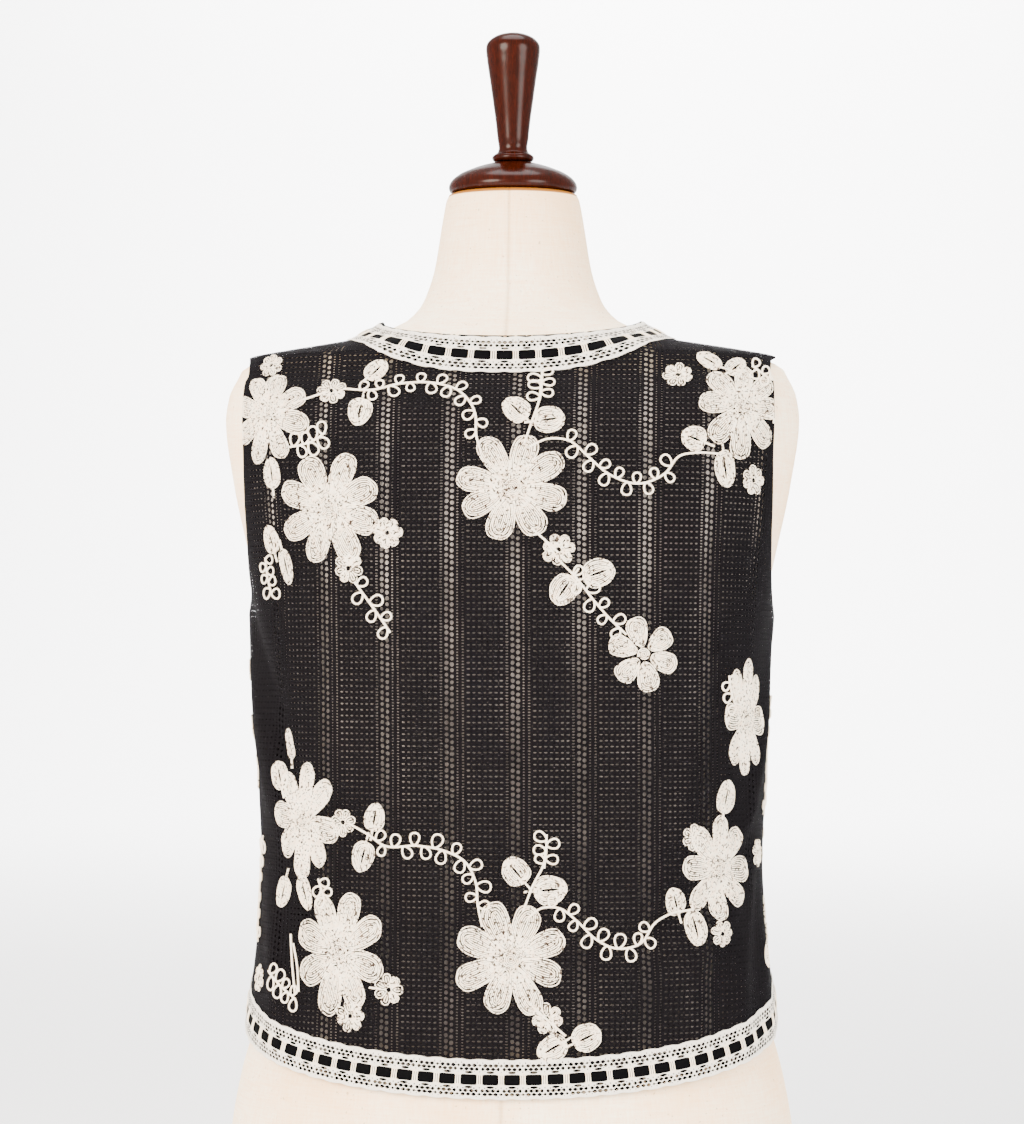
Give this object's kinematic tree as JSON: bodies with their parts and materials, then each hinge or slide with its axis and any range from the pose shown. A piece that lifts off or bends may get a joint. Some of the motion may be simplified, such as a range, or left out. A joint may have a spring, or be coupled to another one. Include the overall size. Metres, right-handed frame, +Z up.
{
  "type": "waistcoat on a dress form",
  "caption": "Sleeveless openwork knit waistcoat with corded flowers and ribbon beading lace, worn by a limbless linen dress form with a turned wooden neck cap and handle.",
  "frame": {"origin": "middle of the dress form's flat base, on the surface it stands on", "axes": "+Z up, the wearer's back faces -Y, the wearer's right side is +X"},
  "size_m": [0.392, 0.2633, 0.8493],
  "materials": {
    "knit": "black openwork machine knit with rows of eyelets",
    "lace": "cream crochet beading lace with ribbon slots",
    "ribbon": "narrow black ribbon",
    "cord": "cream twisted cord couched in rows",
    "linen": "cream linen stretched over a hard form",
    "mahogany": "turned and varnished red-brown wood"
  },
  "bodies": {
    "root": {"form_torso": "linen", "neck_cap": "mahogany", "cap_handle": "mahogany", "back_panel": "knit", "front_left": "knit", "front_right": "knit", "neck_back_lace": "lace", "neck_front_left_lace": "lace", "neck_front_right_lace": "lace", "hem_back_lace": "lace", "hem_front_left_lace": "lace", "hem_front_right_lace": "lace", "neck_back_ribbon": "ribbon", "neck_front_left_ribbon": "ribbon", "neck_front_right_ribbon": "ribbon", "hem_back_ribbon": "ribbon", "hem_front_left_ribbon": "ribbon", "hem_front_right_ribbon": "ribbon", "flower_01": "cord", "flower_02": "cord", "flower_03": "cord", "flower_04": "cord", "flower_05": "cord", "flower_06": "cord", "flower_07": "cord", "flower_08": "cord", "flower_09": "cord", "flower_10": "cord", "flower_11": "cord", "flower_12": "cord", "flower_13": "cord", "flower_14": "cord", "flower_15": "cord"}
  },
  "joints": []
}
